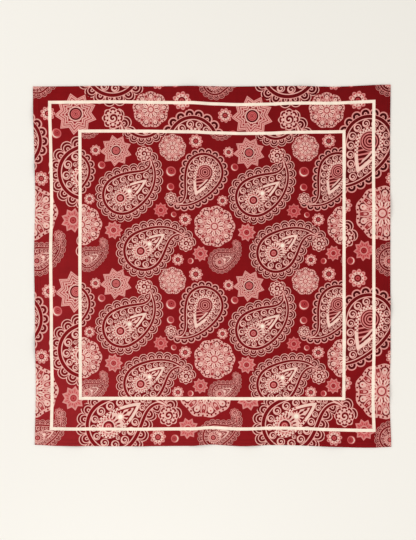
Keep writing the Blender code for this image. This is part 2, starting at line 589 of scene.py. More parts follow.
@dataclass(frozen=True)
class Print:
    """The printed pattern: one repeat within the inner frame line, a larger printing of
    it outside, and two cream frame lines over them."""

    small: Repeat = Repeat((-149.1, 178.4), (1.0, 1.0))
    large: Repeat = Repeat((-210.8, 235.2), (1.3237, 1.3375))
    inner_frame: Box = (-204.8, -204.6, 203.4, 208.4)
    outer_frame: Box = (-249.6, -251.6, 249.4, 253.3)
    sag: Rows = (
        # x, how far the print hangs down there
        (-110, 0.0), (-35, 1.1), (5, 2.6), (46, 3.5), (86, 3.3), (126, 1.8), (166, 1.2), (220, 0.4),
    )
    sag_fade: tuple[float, float] = (-240.0, -110.0)  # y where the sag starts and is whole
    stamps: tuple[StampRow, ...] = (
        # motif, x, y, radius, turn in degrees, paleness
        (Motif.STAR, 0.0, 0.0, 24.0, 24, 0.0),
        (Motif.MEDALLION, 87.1, 5.2, 21.3, 10, 0.0),
        (Motif.MEDALLION, 152.1, -114.7, 32.2, 2, 0.0),
        (Motif.BLOSSOM, -3.7, -123.1, 14.5, 0, -0.2),
        (Motif.BLOSSOM, 69.3, -91.7, 11.8, 12, 0.0),
        (Motif.BLOSSOM, 130.5, -157.8, 12.5, 25, -0.15),
        (Motif.DAISY, -31.7, 0.5, 9.0, 0, 0.0),
        (Motif.DAISY, -41.1, -74.9, 9.0, 9, 0.0),
        (Motif.DAISY, 106.9, -105.5, 10.4, 0, 0.0),
        (Motif.DAISY, 95.6, -167.7, 9.7, 5, 0.0),
        (Motif.DAISY, 123.3, 15.8, 11.4, 0, 0.0),
        (Motif.BALL, -22.4, -22.6, 5.7, 0, 0.0),
        (Motif.BALL, 84.8, -31.6, 7.7, 20, 0.0),
        (Motif.BALL, 84.1, -55.5, 5.7, 0, 0.0),
        (Motif.BALL, 89.1, -98.2, 4.3, 0, 0.0),
        (Motif.BALL, 115.4, -169.6, 4.6, 140, 0.0),
        (Motif.CURL, 43.0, -5.2, 12.9, 0, 0.0),
        (Motif.CURL, 84.9, -72.9, 9.8, 0, 0.0),
        (Motif.CURL, 107.9, -143.0, 12.4, 0, 0.0),
        (Motif.CURL, -20.6, -140.0, 5.8, 0, 0.2),
    )
    covered: float = 0.25  # added to a paisley's number where a rosette lies over it
    drawn: tuple[float, ...] = (0.0, 24.0, 32.0, 10.4, 13.6, 6.0, 12.0)  # radius by motif
    margin: float = 1.6  # of ground round a motif that its faces hold
    hold: tuple[float, float] = (0.5, 3.0)  # where a flower's edge ends, and its head start
    spine_end: float = 0.985  # share of the spine past which a paisley holds no faces
    bead_line: float = -1.8  # how far outside the heart its beads are counted
    heart_edge: float = 1.5  # how far inside the heart its own drawing starts
    coil: float = 5.0  # radius that the spirals are drawn with
    core: float = 1.3  # least of a paisley's radius that the dark band leaves
    paisleys: tuple[Paisley, ...] = (
        Paisley(
            Motif.LACE_DROP,
            Drop(9.6, -68.3, 31.1, 90.3, 27.4, 132, 2.51, 0.914, 1.2, 1.87, 2.08),
            Drop(6.6, -73.5, 13.0, 50.7, 34.6, shoulder=1.9),
            scallop=13.0, fringe=11.8, band=(3.5, 1.9), start=0.38, spread=1.22,
        ),
        Paisley(
            Motif.RINGED_DROP,
            Drop(136.5, -31.3, 29.5, 82.0, 246.8, -128.9, 3.38, 0.875, 1.2, 1.42, 1.45),
            Drop(137.6, -31.5, 16.2, 39.8, 247.4, shoulder=1.5),
            scallop=11.55, fringe=8.4, band=(3.3, 1.8), start=0.06, spread=1.12,
        ),
        Paisley(
            Motif.LACE_DROP,
            Drop(42.6, -154.8, 31.3, 90.0, 43.6, -144, 2.55, 0.785, 1.2, 1.26, 1.35),
            Drop(37.9, -155.5, 13.8, 47.1, 36.0, shoulder=1.9),
            scallop=12.6, fringe=11.8, band=(3.5, 2.0), start=0.58, spread=1.22,
        ),
        Paisley(
            Motif.LACE_DROP,
            Drop(-44.0, -168.0, 14.0, 43.2, 19.3, 113, 2.5, 0.75, 0.7, taper=0.9),
            Drop(-45.5, -170.0, 7.0, 21.4, 25.0, shoulder=1.9),
            scallop=6.6, fringe=5.8, band=(3.4, 2.0), grain=0.5, pale=0.1,
        ),
    )

    def printed(self, cut: np.ndarray) -> np.ndarray:
        """Where on the print points of the cloth lie: the print hangs down a little
        between its sides.

        Args:
            cut: Points of the cloth, in millimetres from its middle.

        Returns:
            The points of the print.
        """
        start, whole = self.sag_fade
        fade = smooth(np.clip((cut[:, 1] - start) / (whole - start), 0, 1))
        places = cut.copy()
        places[:, 1] += eased(cut[:, 0], self.sag) * fade
        return places

    def marks(self, places: np.ndarray, sizes: np.ndarray) -> dict[Mark, np.ndarray]:
        """Works out the print's numbers at each corner of a mesh's faces.

        Args:
            places: The corners' places on the print, in the order of the faces.
            sizes: Number of corners of each face.

        Returns:
            For each attribute, three numbers a corner.
        """
        face = np.repeat(np.arange(len(sizes)), sizes)
        starts = np.cumsum(sizes) - sizes
        centres = np.add.reduceat(places, starts) / sizes[:, None]
        low, high = np.array(self.inner_frame).reshape(2, 2)
        is_small = ((centres > low) & (centres < high)).all(axis=1)[:, None]
        local = np.where(is_small, self.small.local(centres), self.large.local(centres))
        scale = np.where(is_small, self.small.scale, self.large.scale)
        values = {mark: np.zeros((len(places), 3)) for mark in Mark}
        values[Mark.PLACE][:, :2] = places
        cells = Cells(local, (places - centres[face]) / scale[face], face, values)
        owner, rosette = self.owners(local)
        count = len(self.stamps)
        for number, stamp in enumerate(self.stamps):
            self.mark_stamp(cells, stamp, owner == number)
        for number, paisley in enumerate(self.paisleys, count):
            self.mark_paisley(cells, paisley, owner == number)
        kind, pale = (values[mark][:, 2].copy() for mark in (Mark.PLACE, Mark.MOTIF))
        for number in np.unique(rosette[rosette >= 0]):  # rosettes lie over the paisleys
            mine = (rosette == number) & (owner >= count)
            self.mark_stamp(cells, self.stamps[number], mine)
            corners = mine[face]
            values[Mark.PLACE][corners, 2] = kind[corners] + self.covered
            values[Mark.MOTIF][corners, 2] = pale[corners]
        return values

    def owners(self, local: np.ndarray) -> tuple[np.ndarray, np.ndarray]:
        """Finds the motif that each face falls in. A paisley takes faces from a flower
        only along the flower's edge, or where it reaches well into the flower.

        Args:
            local: The faces' places in the repeat.

        Returns:
            The number of each face's motif, with the stamps first, and of the rosette
            over it, each -1 where there is none.
        """
        best = np.zeros(len(local))
        owner = np.full(len(local), -1)
        rosette = owner.copy()
        for number, (motif, x, y, radius, _, _) in enumerate(self.stamps):
            near = np.hypot(*self.small.nearest(local - (x, y)).T) - radius - self.margin
            if motif is Motif.CURL:
                rosette[near < 0] = number
            owner[near < best] = number
            best = np.minimum(best, near)
        edge, hold = self.hold
        for number, paisley in enumerate(self.paisleys, len(self.stamps)):
            offset = self.small.nearest(local - paisley.middle)
            close = np.nonzero(np.hypot(*offset.T) < paisley.extent + self.margin)[0]
            trail = paisley.drop.follow(offset[close] + paisley.middle, 0.0)
            near = trail.distance - paisley.fringe - self.margin
            limit = best[close] - np.where(best[close] < -edge, hold, 0.0)
            limit[(rosette[close] >= 0) & (owner[close] < len(self.stamps))] = 0.0
            nearer = (near < limit) & (trail.share < self.spine_end)
            owner[close[nearer]] = number
            best[close[nearer]] = near[nearer]
        return owner, rosette

    def mark_stamp(self, cells: Cells, stamp: StampRow, mine: np.ndarray) -> None:
        """Gives the corners of a round motif's faces their place in it.

        Args:
            cells: The faces and their corners' numbers.
            stamp: The motif's row.
            mine: Which faces the motif owns.
        """
        motif, x, y, radius, turn, pale = stamp
        corners = np.nonzero(mine[cells.face])[0]
        face = cells.face[corners]
        spots = self.small.nearest(cells.local - (x, y))[face] + cells.away[corners]
        cells.values[Mark.PLACE][corners, 2] = motif
        cells.values[Mark.MOTIF][corners, :2] = turned(spots * (self.drawn[motif] / radius), turn)
        cells.values[Mark.MOTIF][corners, 2] = pale

    def mark_paisley(self, cells: Cells, paisley: Paisley, mine: np.ndarray) -> None:
        """Gives the corners of a paisley's faces their places along its outline, its
        heart and its spirals. A face's corners stay together along an outline, so that
        no face is torn where two stretches of it are as near.

        Args:
            cells: The faces and their corners' numbers.
            paisley: The motif.
            mine: Which faces the motif owns.
        """
        corners = np.nonzero(mine[cells.face])[0]
        if not len(corners):
            return
        numbers, which = np.unique(cells.face[corners], return_inverse=True)
        middles = self.small.nearest(cells.local[numbers] - paisley.middle) + paisley.middle
        away = cells.away[corners]
        spots = middles[which] + away
        reach = 2 * np.hypot(*away.T)
        drop, heart, grain = paisley.drop, paisley.heart, paisley.grain
        measured = []
        for outline, out in ((drop, paisley.fringe / 2), (heart, self.bead_line)):
            trail, middle = outline.follow(spots, out), outline.follow(middles, out)
            along = middle.along[which]
            along = along + np.clip(trail.along - along, -reach, reach)
            measured.append((trail, along, middle.distance))
        (outer, scallops, _), (inner, beads, depth) = measured
        round_end, neck = paisley.band
        share = np.clip(outer.share / drop.neck, 0, 1)
        thick = np.interp(outer.share, np.linspace(0, 1, drop.steps), drop.spine()[1]) / grain
        band = np.minimum(round_end + (neck - round_end) * share, np.maximum(thick - self.core, 0))
        spirals = paisley.spirals()
        chosen = (spans(middles, spirals) - spirals[:, 2]).argmin(axis=1)[which]
        coil = (spots - spirals[chosen, :2]) * (self.coil / spirals[chosen, 2])[:, None]
        core = turned((spots - (heart.x, heart.y)) / grain, heart.heading)
        within = (depth < -self.heart_edge * grain)[which, None]
        flank = (outer.distance / grain, scallops / paisley.scallop + paisley.start, band)
        deep = (inner.distance / grain, beads / (paisley.bead * grain), inner.share)
        cells.values[Mark.PLACE][corners, 2] = paisley.motif
        cells.values[Mark.MOTIF][corners, :2] = np.where(within, core, coil)
        cells.values[Mark.MOTIF][corners, 2] = paisley.pale
        cells.values[Mark.FLANK][corners] = np.column_stack(flank)
        cells.values[Mark.HEART][corners] = np.column_stack(deep)


# ---- Drawing with shader nodes


def add_node(
    tree: bpy.types.NodeTree, kind: str, inputs: dict[Union[int, str], object], **settings: object
) -> bpy.types.Node:
    """Adds a shader node.

    Args:
        tree: The node tree.
        kind: The node's type.
        inputs: By number or name, the field or the socket to be linked, or a constant.
        settings: The node's own settings.

    Returns:
        The node.
    """
    node = tree.nodes.new("ShaderNode" + kind)
    for name, value in settings.items():
        setattr(node, name, value)
    for key, value in inputs.items():
        source = getattr(value, "socket", value)
        if isinstance(source, bpy.types.NodeSocket):
            tree.links.new(source, node.inputs[key])
        else:
            node.inputs[key].default_value = source
    return node


def split(tree: bpy.types.NodeTree, vector: bpy.types.NodeSocket) -> list["Field"]:
    """The three parts of a vector."""
    node = add_node(tree, "SeparateXYZ", {0: vector})
    return [Field(tree, output) for output in node.outputs]


class Field:
    """A number that varies over the cloth, as the output of one shader node. Arithmetic
    on fields adds nodes to their tree."""

    SOFT = 0.5  # millimetres over which one ink gives way to another

    def __init__(self, tree: bpy.types.NodeTree, socket: bpy.types.NodeSocket) -> None:
        """Wraps a node's output."""
        self.tree = tree
        self.socket = socket

    def math(self, operation: str, *others: "Number", clamp: bool = False) -> "Field":
        """Puts the field through one Math node.

        Args:
            operation: The node's operation.
            others: Its further inputs, fields or constants.
            clamp: Whether the result is held between 0 and 1.

        Returns:
            The node's output.
        """
        inputs = dict(enumerate((self, *others)))
        node = add_node(self.tree, "Math", inputs, operation=operation, use_clamp=clamp)
        return Field(self.tree, node.outputs[0])

    def __add__(self, other: "Number") -> "Field":
        """Sum."""
        return self.math("ADD", other)

    def __sub__(self, other: "Number") -> "Field":
        """Difference."""
        return self.math("SUBTRACT", other)

    def __mul__(self, other: "Number") -> "Field":
        """Product."""
        return self.math("MULTIPLY", other)

    def __abs__(self) -> "Field":
        """The field without its sign."""
        return self.math("ABSOLUTE")

    def scaled(self, factor: "Number", offset: "Number" = 0.0) -> "Field":
        """The field times a factor, plus an offset."""
        return self.math("MULTIPLY_ADD", factor, offset)

    def fraction(self) -> "Field":
        """What is left above the next lower whole number."""
        return self.math("FRACT")

    def with_side(self, other: "Field") -> "Field":
        """Length of the slope between two fields taken as the sides of a right angle."""
        return (self * self + other * other).math("SQRT")

    def inside(self) -> "Field":
        """1 where the field is below zero and 0 above it, with a soft edge."""
        return self.math("MULTIPLY_ADD", -1 / self.SOFT, 0.5, clamp=True)

    def outside(self) -> "Field":
        """1 where the field is above zero and 0 below it, with a soft edge."""
        return self.math("MULTIPLY_ADD", 1 / self.SOFT, 0.5, clamp=True)

    def ripples(self, net: tuple[float, float]) -> "Field":
        """1 on lines that follow the field's contours, with a pitch and a width."""
        pitch, width = net
        return (self * (1 / pitch)).fraction().scaled(pitch, 0.0).stroke(pitch / 2, width)

    def stroke(self, centre: float, width: float) -> "Field":
        """1 within half a width of a value, with soft edges."""
        slope = -1 / self.SOFT
        return abs(self - centre).math("MULTIPLY_ADD", slope, 0.5 - slope * width / 2, clamp=True)

    def over(self, mask: "Field", tone: "Number") -> "Field":
        """This field, covered by another tone where the mask is 1."""
        node = add_node(self.tree, "Mix", {0: mask, 2: self, 3: tone})
        return Field(self.tree, node.outputs[0])

    def ramp(self, stops: Sequence[tuple[float, Colour]]) -> bpy.types.NodeSocket:
        """Puts the field through a colour ramp.

        Args:
            stops: Places up to 1, the first of them 0, and their linear colours.

        Returns:
            The colour.
        """
        node = add_node(self.tree, "ValToRGB", {0: self})
        elements = node.color_ramp.elements
        elements.remove(elements[1])
        for number, (place, colour) in enumerate(stops):
            stop = elements[0] if number == 0 else elements.new(place)
            stop.color = colour
        return node.outputs[0]

    def bands(self, rows: Rows) -> "Field":
        """Tones in bands of the field's value, with soft steps between them.

        Args:
            rows: The upper limit of each band, ascending, and its tone. The last tone
                has no limit.

        Returns:
            The tone.
        """
        span = rows[-2][0] + self.SOFT
        stops = [(0.0, rows[0][1])]
        for (limit, tone), (_, next_tone) in zip(rows, rows[1:]):
            stops += [(limit - self.SOFT / 2, tone), (limit + self.SOFT / 2, next_tone)]
        greys = [(min(1.0, max(0.0, value / span)), (tone, tone, tone, 1)) for value, tone in stops]
        return Field(self.tree, (self * (1 / span)).ramp(greys))


Number = Union[Field, float]


class Polar:
    """Polar coordinates round a middle."""

    def __init__(self, x: Field, y: Field) -> None:
        """Takes the coordinates from the middle, in millimetres.

        Args:
            x: Place across.
            y: Place up.
        """
        self.x, self.y = x, y
        self.reach = x.with_side(y)
        self.turn = y.math("ARCTAN2", x) * (1 / TAU)

    def sector(self, count: int, phase: float = 0.0) -> tuple[Field, Field]:
        """Local coordinates in each of a number of equal sectors.

        Args:
            count: Number of sectors.
            phase: Share of a sector that they are turned by.

        Returns:
            Distance across from the sector's middle line, and out along it.
        """
        share = self.turn.scaled(count, phase + 0.5).fraction()
        angle = share.scaled(TAU / count, -math.pi / count)
        return self.reach * angle.math("SINE"), self.reach * angle.math("COSINE")

    def ovals(
        self, count: int, out: float, half_across: float, half_out: float, phase: float = 0.0
    ) -> Field:
        """Oval marks in a ring.

        Args:
            count: Number of marks.
            out: Distance of their middles from the centre.
            half_across: Half their width.
            half_out: Half their length.
            phase: Share of a sector that they are turned by.

        Returns:
            The distance from the nearest oval's edge, negative inside it.
        """
        across, along = self.sector(count, phase)
        across = across * (1 / half_across)
        along = along.scaled(1 / half_out, -out / half_out)
        nib = min(half_across, half_out)
        return across.with_side(along).scaled(nib, -nib)

    def star(self, count: int, tip: float, valley: float) -> Field:
        """A star with straight edges between its tips and its valleys.

        Args:
            count: Number of points.
            tip: Reach of the points.
            valley: Reach of the valleys.

        Returns:
            The distance from its edge, negative inside it.
        """
        across, along = self.sector(count)
        back = tip - valley * math.cos(math.pi / count)
        side = valley * math.sin(math.pi / count)
        edge = math.hypot(back, side)
        return along.scaled(side / edge, -tip * side / edge) + abs(across) * (back / edge)

    def lobes(self, count: int, radius: float, depth: float) -> Field:
        """Distance outside a disc whose edge waves in and out by a depth."""
        wave = (self.turn * (TAU * count)).math("COSINE")
        return self.reach + wave.scaled(-depth, -radius)

    def spiral(self, pitch: float, width: float) -> Field:
        """1 on a spiral line of a given pitch and width."""
        share = self.reach.scaled(1 / pitch, self.turn).fraction()
        return (share * pitch).stroke(pitch / 2, width)


@dataclass(frozen=True)
class Spot:
    """The print's numbers at a point, as fields. Sizes are in millimetres."""

    x: Field
    y: Field
    polar: Polar
    outside: Field
    scallops: Field
    band: Field
    heart: Field
    beads: Field
    along: Field


@dataclass(frozen=True)
class RoundMotif:
    """A round motif with a lobed edge: bands of tone about its middle, rings of oval
    marks, a line along its edge and more marks over that. Sizes are in millimetres."""

    count: int  # of its lobes or points
    radius: float
    depth: float  # how far a lobe stands out, or a point over the valleys beside it
    bands: Rows  # upper limit, tone
    marks: Rows = ()  # count, place outwards, half width, half length, turn, line, tone
    rim: tuple[float, ...] = ()  # place outwards from the edge, width, tone
    upper: Rows = ()  # marks over the rim

    def edge(self, at: Polar) -> Field:
        """Distance outside the edge."""
        return at.lobes(self.count, self.radius, self.depth)

    @staticmethod
    def stamped(at: Polar, tone: Field, marks: Rows) -> Field:
        """Covers a tone with rings of ovals, each filled or drawn as a line.

        Args:
            at: Where they are drawn.
            tone: The tone so far.
            marks: A row for each ring. Its line is 0 where the ovals are filled.

        Returns:
            The tone with the marks.
        """
        for count, out, half_across, half_out, phase, line, depth in marks:
            oval = at.ovals(count, out, half_across, half_out, phase)
            tone = tone.over(oval.stroke(0.0, line) if line else oval.inside(), depth)
        return tone

    def ground(self, at: Polar, edge: Field) -> Field:
        """Tone under the marks."""
        return at.reach.bands(self.bands)

    def hub(self, at: Polar, tone: Field) -> Field:
        """Covers a tone with what lies over the marks at the middle: nothing."""
        return tone

    def draw(self, spot: Spot) -> Field:
        """Draws the motif.

        Args:
            spot: The print's numbers.

        Returns:
            Its tone.
        """
        at = spot.polar
        edge = self.edge(at)
        tone = self.hub(at, self.stamped(at, self.ground(at, edge), self.marks))
        if self.rim:
            middle, width, depth = self.rim
            tone = tone.over(edge.stroke(middle, width), depth)
        return self.stamped(at, tone, self.upper).over(edge.outside(), Tone.GROUND)


@dataclass(frozen=True)
class Blossom(RoundMotif):
    """A pink star-shaped flower with a rose eye."""

    count: int = 9
    radius: float = 13.6
    depth: float = 3.7
    bands: Rows = ((0.8, 0.28), (2.8, 0.46), (3.7, 0.34), (5.0, 0.71), (99, 0.62))
    marks: Rows = ((9, 8.0, 0.7, 2.0, 0.0, 0.0, 0.5), (9, 6.6, 0.5, 1.0, 0.5, 0.0, 0.42))
    rim: tuple[float, ...] = (-0.6, 1.2, 0.69)

    def edge(self, at: Polar) -> Field:
        """Distance outside the points."""
        return at.star(self.count, self.radius, self.radius - self.depth)


@dataclass(frozen=True)
class Star(Blossom):
    """A nine-pointed star with a dark ring round its middle, and lines along its points."""

    radius: float = 24.6
    depth: float = 6.7
    bands: Rows = (
        (0.9, 0.14), (2.0, 0.66), (2.6, 0.34), (3.7, 0.68), (4.3, 0.36), (5.5, 0.66),
        (7.1, 0.04), (8.4, 0.88), (12.6, 0.86), (99, 0.83),
    )
    marks: Rows = (
        (9, 18.2, 1.6, 2.8, 0.5, 0.8, 0.8),
        (9, 13.8, 1.5, 1.9, 0.0, 0.8, 0.8),
        (9, 9.7, 0.8, 0.9, 0.0, 0.0, 0.2),
        (9, 13.8, 0.6, 0.7, 0.0, 0.0, 0.34),
        (9, 18.4, 0.6, 0.9, 0.5, 0.0, 0.38),
    )
    rim: tuple[float, ...] = (-0.6, 1.2, 0.83)
    net: tuple[float, float] = (2.3, 0.72)  # pitch and width of the lines
    eye: float = 8.4  # where they start

    def ground(self, at: Polar, edge: Field) -> Field:
        """Tone under the marks, with the lines."""
        lines = edge.ripples(self.net) * (at.reach - self.eye).outside()
        return at.reach.bands(self.bands).over(lines, Tone.GROUND)


@dataclass(frozen=True)
class Medallion(RoundMotif):
    """A round lace medallion with a lobed and dotted rim."""

    count: int = 9
    radius: float = 31.0
    depth: float = 1.0
    bands: Rows = ((14.6, 0.87), (99, 0.83))
    marks: Rows = (
        (9, 24.6, 1.5, 2.2, 0.5, 1.0, 0.34),
        (9, 17.0, 2.3, 2.6, 0.0, 0.8, 0.84),
        (9, 15.6, 0.8, 1.0, 0.0, 0.0, 0.4),
        (9, 24.8, 4.6, 4.3, 0.0, 0.0, 0.12),
        (9, 23.2, 3.5, 3.9, 0.0, 0.0, 0.88),
        (9, 24.0, 0.9, 0.9, 0.0, 0.0, 0.5),
        (9, 10.6, 2.4, 4.4, 0.5, 0.0, 0.92),
        (9, 11.6, 1.0, 1.4, 0.0, 0.0, 0.2),
        (9, 11.0, 0.4, 2.4, 0.5, 0.0, 0.42),
    )
    rim: tuple[float, ...] = (-2.0, 3.8, 0.84)
    upper: Rows = ((36, 29.0, 1.0, 1.1, 0.0, 0.0, 0.2),)
    net: tuple[float, float] = (2.3, 0.72)  # pitch and width of the lines in its fans
    fan: tuple[float, ...] = (20.6, 3.2, 6.4, 0.5)  # place, half width, half length, turn
    button: float = 6.8
    button_bands: Rows = ((1.4, 0.8), (4.1, 0.87), (5.4, 0.38), (99, 0.8))

    def ground(self, at: Polar, edge: Field) -> Field:
        """Tone under the marks, with the fans' lines."""
        lines = at.ovals(self.count, *self.fan).ripples(self.net)
        return at.reach.bands(self.bands).over(lines, Tone.GROUND)

    def hub(self, at: Polar, tone: Field) -> Field:
        """Covers a tone with the button at the middle."""
        return tone.over((at.reach - self.button).inside(), at.reach.bands(self.button_bands))


@dataclass(frozen=True)
class Daisy(RoundMotif):
    """A small flower with a cream ring round a rose eye."""

    count: int = 9
    radius: float = 9.2
    depth: float = 0.8
    bands: Rows = ((0.7, 0.24), (2.5, 0.56), (3.9, 0.18), (6.9, 0.9), (99, 0.72))
    marks: Rows = ((9, 5.4, 0.5, 0.8, 0.5, 0.0, 0.34), (9, 7.5, 0.5, 0.7, 0.0, 0.0, 0.45))
    rim: tuple[float, ...] = (-0.5, 1.0, 0.8)
    upper: Rows = ((9, 8.7, 0.5, 1.2, 0.5, 0.0, 0.36),)


@dataclass(frozen=True)
class Ball(RoundMotif):
    """A pink bead with a cream glint at its lower left."""

    count: int = 1
    radius: float = 6.0
    depth: float = 0.0
    bands: Rows = ((0.8, 0.16), (2.2, 0.5), (2.9, 0.38), (5.0, 0.52), (99, 0.97))
    rim: tuple[float, ...] = (-0.5, 0.9, 0.64)
    shade: tuple[float, float] = (1.0, 0.8)  # middle of the bands

    def ground(self, at: Polar, edge: Field) -> Field:
        """Tone of the bead, about the middle of its shade."""
        right, up = self.shade
        return Polar(at.x - right, at.y - up).reach.bands(self.bands)


@dataclass(frozen=True)
class Curl(RoundMotif):
    """The rosette that a paisley's tip curls into, with a spiral at its middle."""

    count: int = 8
    radius: float = 11.2
    depth: float = 0.8
    bands: Rows = ((4.9, 0.2), (99, 0.88))
    marks: Rows = (
        (8, 9.0, 2.8, 1.5, 0.0, 0.0, 0.2),
        (8, 7.9, 1.3, 0.8, 0.0, 0.0, 0.9),
        (8, 6.5, 1.0, 1.0, 0.5, 0.0, 0.16),
    )
    spiral: tuple[float, float] = (4.2, 2.0)  # its pitch and its line's width

    def ground(self, at: Polar, edge: Field) -> Field:
        """Tone under the marks, with the spiral."""
        line = (at.reach - self.bands[0][0]).inside() * at.spiral(*self.spiral)
        return at.reach.bands(self.bands).over(line, 0.9)


@dataclass(frozen=True)
class LaceDrop:
    """A paisley with double scallops and a lace heart. Sizes are in millimetres."""

    scallop: float = 13.2
    foot: float = 2.2  # where the middle of a scallop's arches stands, outwards
    arches: Rows = ((1.0, 0.1), (2.3, 0.86), (4.8, 0.14), (6.0, 0.86), (99, 0.13))
    arc: tuple[float, ...] = (4.3, 6.9, 1.2, 7.5)  # an outer arc's foot, radius, width, edge
    base: Rows = ((1.2, 0.85), (0.3, 0.21))  # the line that the scallops stand on
    band: Rows = ((3.0, 0.21), (4.3, 0.88), (99, 0.18))  # the dark band, and a cream line
    coil: tuple[float, float, float] = (3.7, 1.6, 4.2)  # a spiral's pitch, width and reach
    hoop: tuple[float, float] = (4.4, 1.2)  # radius and width of the line round it
    border: float = 3.4  # width of the heart's border
    pierced: float = 9.0  # where its holes end, in twentieths of the heart's length
    bead: float = 4.3  # from one hole to the next
    holes: Rows = ((0.0, 1.3, 0.95), (0.5, 3.1, 0.7))  # shift in beads, depth, radius

    def fringe(self, spot: Spot) -> Field:
        """Draws the scallops: a dotted arch within an arc, and a thinner arc outside.

        Args:
            spot: The print's numbers.

        Returns:
            Their tone.
        """
        across = spot.scallops.fraction().scaled(self.scallop, -self.scallop / 2)
        tone = across.with_side(spot.outside - self.foot).bands(self.arches)
        if self.arc:
            foot, radius, width, edge = self.arc
            reach = across.with_side(spot.outside - foot)
            tone = tone.over(reach.stroke(radius, width), 0.87)
            tone = tone.over((reach - edge).outside(), Tone.GROUND)
        return tone

    def ring(self, spot: Spot) -> Field:
        """Draws what lies within the outline: the dark band, a cream line and spirals.

        Args:
            spot: The print's numbers.

        Returns:
            The tone.
        """
        depth = spot.outside.scaled(-1.0, self.band[0][0]) - spot.band
        pitch, width, end = self.coil
        reach = spot.polar.reach
        coil = spot.polar.spiral(pitch, width) * (reach - end).inside()
        line = coil.math("MAXIMUM", reach.stroke(*self.hoop)) * (depth - 4.0).outside()
        return depth.bands(self.band).over(line, 0.89)

    def core(self, spot: Spot) -> Field:
        """Draws the heart within its border: a disc, drops and a fan to its tip.

        Args:
            spot: The print's numbers.

        Returns:
            Its tone.
        """
        at = spot.polar
        disc = (
            (0.9, 0.7), (2.0, 0.45), (3.1, 0.76), (4.3, 0.5), (6.1, 0.22), (7.4, 0.92),
            (9.6, 0.82), (99, 0.9),
        )
        hub = Polar(spot.x - 17.6, spot.y - 1.0)
        inner_fan, outer_fan = hub.ovals(11, 7.4, 1.2, 2.9), hub.ovals(13, 13.4, 1.2, 2.4)
        ahead = (spot.x - 2.0).outside()
        tone = at.reach.bands(disc).over(at.reach.stroke(5.4, 2.0) * ahead, 0.12)
        tone = tone.over(at.ovals(18, 11.8, 1.0, 2.2).inside() * ahead, 0.16)
        tone = tone.over(at.ovals(13, 8.8, 0.7, 0.8).inside(), 0.4)
        tone = tone.over(inner_fan.inside() * (spot.x - 17.0).outside(), 0.16)
        tone = tone.over(outer_fan.inside() * (spot.x - 19.0).outside(), 0.16)
        tone = tone.over((hub.reach - 2.6).inside(), Tone.CREAM)
        tip_side = (spot.along * 20.0 - 7.0).outside()
        return tone.over(spot.heart.stroke(-4.2, 1.6) * tip_side, 0.22)

    def draw(self, spot: Spot) -> Field:
        """Draws the paisley. The heart's border is cream, with two rows of dark holes
        round the round end, and plain on to the tip.

        Args:
            spot: The print's numbers.

        Returns:
            Its tone.
        """
        edging = self.fringe(spot)
        for depth, ink in self.base:
            edging = edging.over((spot.outside - depth).inside(), ink)
        core = self.core(spot).over(spot.heart.stroke(-self.border / 2, self.border), 0.93)
        pierced = (spot.along * 20.0 - self.pierced).inside()
        for shift, depth, size in self.holes:
            share = (spot.beads + shift).fraction().scaled(self.bead, -self.bead / 2)
            hole = share.with_side(spot.heart + depth)
            core = core.over((hole - size).inside() * pierced, 0.24)
        tone = self.ring(spot).over(spot.outside.outside(), edging)
        return tone.over(spot.heart.inside(), core)


@dataclass(frozen=True)
class RingedDrop(LaceDrop):
    """A paisley with single scallops and a heart of rings."""

    scallop: float = 11.7
    foot: float = 1.6
    arches: Rows = ((0.8, 0.1), (2.2, 0.83), (4.9, 0.08), (6.5, 0.82), (99, Tone.GROUND))
    arc: tuple[float, ...] = ()
    border: float = 4.3
    pierced: float = 8.0

    def core(self, spot: Spot) -> Field:
        """Draws the heart within its border: rings about an eye, and stripes to its tip.

        Args:
            spot: The print's numbers.

        Returns:
            Its tone.
        """
        rings = (
            (2.0, 0.12), (3.7, 0.74), (5.0, 0.16), (6.6, 0.74), (8.2, 0.16), (9.8, 0.74),
            (11.0, 0.2), (99, 0.86),
        )
        reach = spot.polar.reach
        share = (spot.x * 0.826 + spot.y * 0.564).scaled(0.2, 0.5).fraction()
        tone = (share * 5.0).bands(((1.5, 0.74), (4.6, 0.18), (99, 0.74)))
        right = spot.y.outside()
        tone = tone.over(spot.heart.stroke(-7.6, 2.4) * right * (spot.x - 3.0).outside(), 0.9)
        tone = tone.over((reach - 11.8).inside(), reach.bands(rings))
        return tone.over(spot.heart.stroke(-5.6, 1.6) * right, 0.14)


DRAWINGS = {
    Motif.STAR: Star(),
    Motif.MEDALLION: Medallion(),
    Motif.DAISY: Daisy(),
    Motif.BLOSSOM: Blossom(),
    Motif.BALL: Ball(),
    Motif.CURL: Curl(),
    Motif.LACE_DROP: LaceDrop(),
    Motif.RINGED_DROP: RingedDrop(),
}


# ---- Finishes


def linear(red: int, green: int, blue: int) -> Colour:
    """Linear colour of an 8-bit sRGB one.

    Args:
        red: Red, from 0 to 255.
        green: Green, from 0 to 255.
        blue: Blue, from 0 to 255.

    Returns:
        The colour with an alpha of 1.
    """
    shares = (channel / 255 for channel in (red, green, blue))
    light = (s / 12.92 if s <= 0.04045 else ((s + 0.055) / 1.055) ** 2.4 for s in shares)
    return (*light, 1.0)


